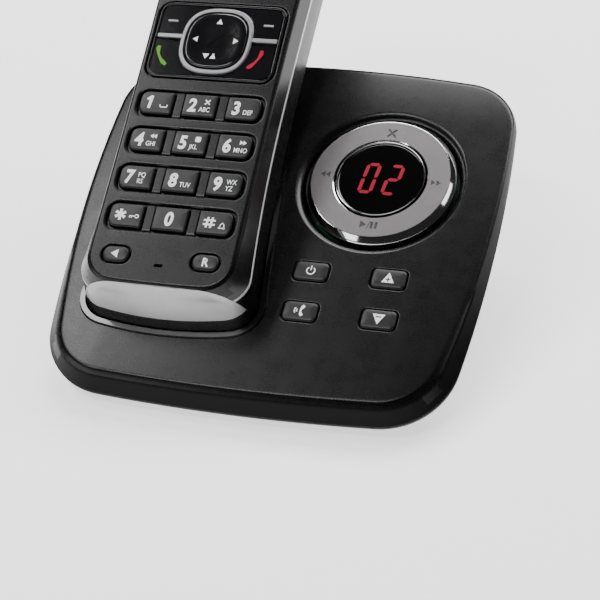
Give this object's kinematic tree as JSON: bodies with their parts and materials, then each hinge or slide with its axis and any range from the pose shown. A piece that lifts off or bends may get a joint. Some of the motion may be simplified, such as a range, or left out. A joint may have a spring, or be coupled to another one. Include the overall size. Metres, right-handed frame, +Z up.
{
  "type": "cordless phone with base",
  "caption": "Cordless telephone handset lying in a sloping charging base with a round silver control ring, a lit display and small push buttons.",
  "frame": {"origin": "middle of the whole object's footprint, on the surface it stands on", "axes": "+Z up, +Y from the user's side to the back along the handset, +X to the right"},
  "size_m": [0.1234, 0.1552, 0.1035],
  "materials": {
    "satin_black": "satin soft-touch black",
    "gloss_black": "polished black",
    "key_plastic": "satin dark grey",
    "silver": "brushed silver with bright edges",
    "chrome": "bright",
    "chin_satin": "satin graphite",
    "window": "polished, nearly black",
    "digits": "dark with red segments",
    "rubber": "matt",
    "steel": "plain",
    "socket_plastic": "matt",
    "dark_parts": "matt",
    "circuit_board": "green solder mask",
    "silicone": "grey silicone",
    "contacts": "plated",
    "cell_wrap": "printed sleeve"
  },
  "bodies": {
    "base": {"base_top_shell": "satin_black", "base_bottom_shell": "satin_black", "cradle_liner": "gloss_black", "rubber_feet": "rubber", "base_screws": "steel", "line_socket": "socket_plastic", "power_socket": "socket_plastic", "base_speaker": "dark_parts", "base_circuit_board": "circuit_board", "display_bezel": "chrome", "display_window": "window", "digit_module": "digits", "button_mat": "silicone", "charge_contacts": "contacts"},
    "handset": {"handset_front_shell": "satin_black", "handset_back_shell": "satin_black", "handset_trim": "silver", "chin_cap": "chin_satin", "key_mat": "silicone", "nav_panel": "gloss_black", "nav_frame": "silver", "display_lens": "window", "display_module": "dark_parts", "earpiece": "dark_parts", "microphone": "dark_parts", "ringer": "dark_parts", "handset_circuit_board": "circuit_board", "battery_door": "satin_black", "battery_cells": "cell_wrap", "battery_contacts": "contacts", "charging_pads": "contacts", "case_screws": "steel"},
    "key_1": {"key_1": "key_plastic"},
    "key_2": {"key_2": "key_plastic"},
    "key_3": {"key_3": "key_plastic"},
    "key_4": {"key_4": "key_plastic"},
    "key_5": {"key_5": "key_plastic"},
    "key_6": {"key_6": "key_plastic"},
    "key_7": {"key_7": "key_plastic"},
    "key_8": {"key_8": "key_plastic"},
    "key_9": {"key_9": "key_plastic"},
    "key_star": {"key_star": "key_plastic"},
    "key_0": {"key_0": "key_plastic"},
    "key_hash": {"key_hash": "key_plastic"},
    "back_key": {"back_key": "key_plastic"},
    "recall_key": {"recall_key": "key_plastic"},
    "talk_key": {"talk_key": "key_plastic"},
    "end_key": {"end_key": "key_plastic"},
    "left_soft_key": {"left_soft_key": "key_plastic"},
    "right_soft_key": {"right_soft_key": "key_plastic"},
    "power_button": {"power_button": "key_plastic"},
    "volume_up_button": {"volume_up_button": "key_plastic"},
    "paging_button": {"paging_button": "key_plastic"},
    "volume_down_button": {"volume_down_button": "key_plastic"},
    "ring_carrier": {"ring_carrier": "dark_parts"},
    "control_ring": {"control_ring": "silver"},
    "nav_carrier": {"nav_carrier": "dark_parts"},
    "nav_key": {"nav_key": "gloss_black"}
  },
  "joints": [
    {"name": "handset_lift", "type": "slide", "parent": "base", "child": "handset", "axis": [0, -0.342, 0.9397], "range_m": [0, 0.12]},
    {"name": "key_1_press", "type": "slide", "parent": "handset", "child": "key_1", "axis": [0, 0.4833, -0.8755], "range_m": [0, 0.0006], "stiffness_N_per_m": 400},
    {"name": "key_2_press", "type": "slide", "parent": "handset", "child": "key_2", "axis": [0, 0.4833, -0.8755], "range_m": [0, 0.0006], "stiffness_N_per_m": 400},
    {"name": "key_3_press", "type": "slide", "parent": "handset", "child": "key_3", "axis": [0, 0.4833, -0.8755], "range_m": [0, 0.0006], "stiffness_N_per_m": 400},
    {"name": "key_4_press", "type": "slide", "parent": "handset", "child": "key_4", "axis": [0, 0.4833, -0.8755], "range_m": [0, 0.0006], "stiffness_N_per_m": 400},
    {"name": "key_5_press", "type": "slide", "parent": "handset", "child": "key_5", "axis": [0, 0.4833, -0.8755], "range_m": [0, 0.0006], "stiffness_N_per_m": 400},
    {"name": "key_6_press", "type": "slide", "parent": "handset", "child": "key_6", "axis": [0, 0.4833, -0.8755], "range_m": [0, 0.0006], "stiffness_N_per_m": 400},
    {"name": "key_7_press", "type": "slide", "parent": "handset", "child": "key_7", "axis": [0, 0.4833, -0.8755], "range_m": [0, 0.0006], "stiffness_N_per_m": 400},
    {"name": "key_8_press", "type": "slide", "parent": "handset", "child": "key_8", "axis": [0, 0.4833, -0.8755], "range_m": [0, 0.0006], "stiffness_N_per_m": 400},
    {"name": "key_9_press", "type": "slide", "parent": "handset", "child": "key_9", "axis": [0, 0.4833, -0.8755], "range_m": [0, 0.0006], "stiffness_N_per_m": 400},
    {"name": "key_star_press", "type": "slide", "parent": "handset", "child": "key_star", "axis": [0, 0.4833, -0.8755], "range_m": [0, 0.0006], "stiffness_N_per_m": 400},
    {"name": "key_0_press", "type": "slide", "parent": "handset", "child": "key_0", "axis": [0, 0.4833, -0.8755], "range_m": [0, 0.0006], "stiffness_N_per_m": 400},
    {"name": "key_hash_press", "type": "slide", "parent": "handset", "child": "key_hash", "axis": [0, 0.4833, -0.8755], "range_m": [0, 0.0006], "stiffness_N_per_m": 400},
    {"name": "back_key_press", "type": "slide", "parent": "handset", "child": "back_key", "axis": [0, 0.4833, -0.8755], "range_m": [0, 0.0006], "stiffness_N_per_m": 400},
    {"name": "recall_key_press", "type": "slide", "parent": "handset", "child": "recall_key", "axis": [0, 0.4833, -0.8755], "range_m": [0, 0.0006], "stiffness_N_per_m": 400},
    {"name": "talk_key_press", "type": "slide", "parent": "handset", "child": "talk_key", "axis": [0, 0.4833, -0.8755], "range_m": [0, 0.0006], "stiffness_N_per_m": 400},
    {"name": "end_key_press", "type": "slide", "parent": "handset", "child": "end_key", "axis": [0, 0.4833, -0.8755], "range_m": [0, 0.0006], "stiffness_N_per_m": 400},
    {"name": "left_soft_key_press", "type": "slide", "parent": "handset", "child": "left_soft_key", "axis": [0, 0.4833, -0.8755], "range_m": [0, 0.0006], "stiffness_N_per_m": 400},
    {"name": "right_soft_key_press", "type": "slide", "parent": "handset", "child": "right_soft_key", "axis": [0, 0.4833, -0.8755], "range_m": [0, 0.0006], "stiffness_N_per_m": 400},
    {"name": "power_button_press", "type": "slide", "parent": "base", "child": "power_button", "axis": [0, 0.342, -0.9397], "range_m": [0, 0.0006], "stiffness_N_per_m": 400},
    {"name": "volume_up_button_press", "type": "slide", "parent": "base", "child": "volume_up_button", "axis": [0, 0.342, -0.9397], "range_m": [0, 0.0006], "stiffness_N_per_m": 400},
    {"name": "paging_button_press", "type": "slide", "parent": "base", "child": "paging_button", "axis": [0, 0.342, -0.9397], "range_m": [0, 0.0006], "stiffness_N_per_m": 400},
    {"name": "volume_down_button_press", "type": "slide", "parent": "base", "child": "volume_down_button", "axis": [0, 0.342, -0.9397], "range_m": [0, 0.0006], "stiffness_N_per_m": 400},
    {"name": "ring_side_rock", "type": "hinge", "parent": "base", "child": "ring_carrier", "pos_m": [0.026, -0.00781, 0.03333], "axis": [0, 0.9397, 0.342], "range_deg": [-2, 2], "stiffness_Nm_per_rad": 0.3},
    {"name": "ring_end_rock", "type": "hinge", "parent": "ring_carrier", "child": "control_ring", "pos_m": [0.026, -0.00836, 0.03484], "axis": [1, 0, 0], "range_deg": [-2, 2], "stiffness_Nm_per_rad": 0.3},
    {"name": "nav_side_rock", "type": "hinge", "parent": "handset", "child": "nav_carrier", "pos_m": [-0.0235, 0.00669, 0.06641], "axis": [0, 0.8755, 0.4833], "range_deg": [-2, 2], "stiffness_Nm_per_rad": 0.1},
    {"name": "nav_end_rock", "type": "hinge", "parent": "nav_carrier", "child": "nav_key", "pos_m": [-0.0235, 0.00621, 0.06728], "axis": [1, 0, 0], "range_deg": [-2, 2], "stiffness_Nm_per_rad": 0.1}
  ]
}
